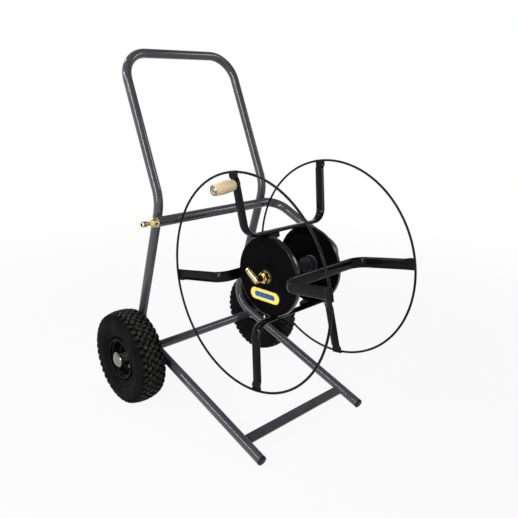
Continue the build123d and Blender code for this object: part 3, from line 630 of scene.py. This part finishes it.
def tyre_section(part):
    """The whole closed section at a part of the pitch, in metres."""
    right, right_inside = tyre_half(part, 0)
    left, left_inside = tyre_half(part, 1)
    mirrored = [(-x, r) for x, r in left[1:]]
    section = mirrored[::-1] + right + right_inside
    section += [(-x, r) for x, r in reversed(left_inside)]
    return [(x * MM, r * MM) for x, r in section]


def tyre(name, side):
    """A block-tread tyre: its section follows the staggered lugs round."""
    centre = Vector((side * WHEEL_X, AXLE_Y, AXLE_Z))
    sections = [tyre_section(part) for part in LUG_STEPS]
    count = len(sections[0])
    points, faces = [], []
    steps = [(lug + part) / LUGS for lug in range(LUGS) for part in LUG_STEPS]
    for k, share in enumerate(steps):
        turn = 2 * pi * share
        out = Vector((0, -sin(turn), cos(turn)))
        points += [centre + SIDEWAYS * x + out * r for x, r in sections[k % len(LUG_STEPS)]]
    for k in range(len(steps)):
        here, there = k * count, (k + 1) % len(steps) * count
        for j in range(count):
            after = (j + 1) % count
            faces.append((here + j, here + after, there + after, there + j))
    return mesh_piece(name, points, faces, 32.0)


for name, side in SIDES:
    piece = dress(tyre(name + "_block_tyre", side), "tyre_rubber", name + "_wheel")
    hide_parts(name + "_tyre")


# ---------------------------------------------------------------- stage
FLOOR_HALF = 14.0
FLOOR_GREY = 0.5
WHITE_NEAR = 0.92  # how much of the floor near the cart is white when seen directly
AMBIENT = 0.30
CEILING = 0.30


def seen_directly(tree, path):
    """1 for a ray from the camera, or one that glossy or clear material sends on."""
    total = path.outputs["Is Camera Ray"]
    for name in ("Is Glossy Ray", "Is Transmission Ray"):
        larger = tree.nodes.new("ShaderNodeMath")
        larger.operation = "MAXIMUM"
        tree.links.new(total, larger.inputs[0])
        tree.links.new(path.outputs[name], larger.inputs[1])
        total = larger.outputs[0]
    return total


def stage_floor():
    """A wide pale floor that keeps the shadow.

    Seen directly it is nearly white, and wholly white far out.
    """
    mesh = bpy.data.meshes.new("floor")
    corners = [(x * FLOOR_HALF, y * FLOOR_HALF, 0) for x, y in ((-1, -1), (1, -1), (1, 1), (-1, 1))]
    mesh.from_pydata(corners, [], [(0, 1, 2, 3)])
    floor = bpy.data.objects.new("floor", mesh)
    bpy.context.scene.collection.objects.link(floor)
    material = bpy.data.materials.new("studio_floor")
    material.use_nodes = True
    tree = material.node_tree
    shader = tree.nodes["Principled BSDF"]
    shader.inputs["Base Color"].default_value = (FLOOR_GREY, FLOOR_GREY, FLOOR_GREY, 1)
    shader.inputs["Roughness"].default_value = 0.8
    shader.inputs["Specular IOR Level"].default_value = 0.2
    glow = tree.nodes.new("ShaderNodeEmission")
    glow.inputs["Color"].default_value = (1, 1, 1, 1)
    place = tree.nodes.new("ShaderNodeTexCoord")
    reach = tree.nodes.new("ShaderNodeVectorMath")
    reach.operation = "LENGTH"
    white = tree.nodes.new("ShaderNodeMapRange")
    white.interpolation_type = "SMOOTHSTEP"
    set_range(white, 0.8, 2.6, WHITE_NEAR, 1.0)
    path = tree.nodes.new("ShaderNodeLightPath")
    amount = tree.nodes.new("ShaderNodeMath")
    amount.operation = "MULTIPLY"
    choose = tree.nodes.new("ShaderNodeMixShader")
    tree.links.new(place.outputs["Object"], reach.inputs[0])
    tree.links.new(reach.outputs["Value"], white.inputs["Value"])
    tree.links.new(seen_directly(tree, path), amount.inputs[0])
    tree.links.new(white.outputs["Result"], amount.inputs[1])
    tree.links.new(amount.outputs[0], choose.inputs[0])
    tree.links.new(shader.outputs[0], choose.inputs[1])
    tree.links.new(glow.outputs[0], choose.inputs[2])
    tree.links.new(choose.outputs[0], tree.nodes["Material Output"].inputs["Surface"])
    mesh.materials.append(material)


stage_floor()


def studio_world():
    """White round the horizon and below it, for what sees it directly, with a dimmer ceiling."""
    world = bpy.data.worlds.new("studio")
    bpy.context.scene.world = world
    world.use_nodes = True
    tree = world.node_tree
    soft = tree.nodes["Background"]
    soft.inputs["Color"].default_value = (1, 1, 1, 1)
    soft.inputs["Strength"].default_value = AMBIENT
    white = tree.nodes.new("ShaderNodeBackground")
    white.inputs["Color"].default_value = (1, 1, 1, 1)
    direction = tree.nodes.new("ShaderNodeTexCoord")
    split = tree.nodes.new("ShaderNodeSeparateXYZ")
    fade = tree.nodes.new("ShaderNodeMapRange")
    fade.interpolation_type = "SMOOTHSTEP"
    set_range(fade, 0.12, 0.55, 1.0, CEILING)
    path = tree.nodes.new("ShaderNodeLightPath")
    choose = tree.nodes.new("ShaderNodeMixShader")
    tree.links.new(direction.outputs["Generated"], split.inputs[0])
    tree.links.new(split.outputs["Z"], fade.inputs["Value"])
    tree.links.new(fade.outputs["Result"], white.inputs["Strength"])
    tree.links.new(seen_directly(tree, path), choose.inputs[0])
    tree.links.new(soft.outputs[0], choose.inputs[1])
    tree.links.new(white.outputs[0], choose.inputs[2])
    tree.links.new(choose.outputs[0], tree.nodes["World Output"].inputs["Surface"])


studio_world()


def softbox(name, place, target, size, power):
    """A rectangular lamp of a size and power, at a place, turned to a target."""
    light = bpy.data.lights.new(name, "AREA")
    light.shape = "RECTANGLE"
    light.size, light.size_y = size
    light.energy = power
    lamp = bpy.data.objects.new(name, light)
    bpy.context.scene.collection.objects.link(lamp)
    lamp.location = place
    lamp.rotation_euler = (Vector(target) - Vector(place)).to_track_quat("-Z", "Y").to_euler()


softbox("left_box", (-2.4, -0.7, 1.3), (0, 0, 0.6), (0.5, 2.2), 62.0)
softbox("rear_box", (-2.0, 0.72, 1.85), (0, 0, 0.2), (1.5, 0.28), 30.0)
softbox("top_box", (-0.6, 1.6, 2.1), (0, -0.1, 0.4), (0.35, 0.35), 7.0)
softbox("right_box", (2.0, -1.6, 2.0), (0, 0, 0.5), (0.6, 0.8), 11.0)

# ---------------------------------------------------------------- camera
CAMERA_PLACE = Vector((-1.03338, -1.06674, 0.89727))
CAMERA_YAW, CAMERA_PITCH, CAMERA_ROLL = radians(-43.698), radians(14.893), radians(1.183)
CAMERA_LENS, SENSOR_WIDTH = 40.627, 36.0
CAMERA_SHIFT = (0.00792, -0.0584)


def make_camera():
    """The photograph's camera, as fitted to the straight tubes, the tyres and the rings."""
    ahead = Vector((-sin(CAMERA_YAW) * cos(CAMERA_PITCH), cos(CAMERA_YAW) * cos(CAMERA_PITCH),
                    -sin(CAMERA_PITCH)))
    level = Vector((cos(CAMERA_YAW), sin(CAMERA_YAW), 0))
    up = level.cross(ahead)
    right = level * cos(CAMERA_ROLL) + up * sin(CAMERA_ROLL)
    up = up * cos(CAMERA_ROLL) - level * sin(CAMERA_ROLL)
    data = bpy.data.cameras.new("camera")
    data.sensor_width = SENSOR_WIDTH
    data.lens = CAMERA_LENS
    data.shift_x, data.shift_y = CAMERA_SHIFT
    camera = bpy.data.objects.new("camera", data)
    bpy.context.scene.collection.objects.link(camera)
    basis = Matrix((right, up, -ahead)).transposed().to_4x4()
    camera.matrix_world = Matrix.Translation(CAMERA_PLACE) @ basis
    bpy.context.scene.camera = camera


make_camera()
bpy.context.scene.view_settings.view_transform = "Standard"
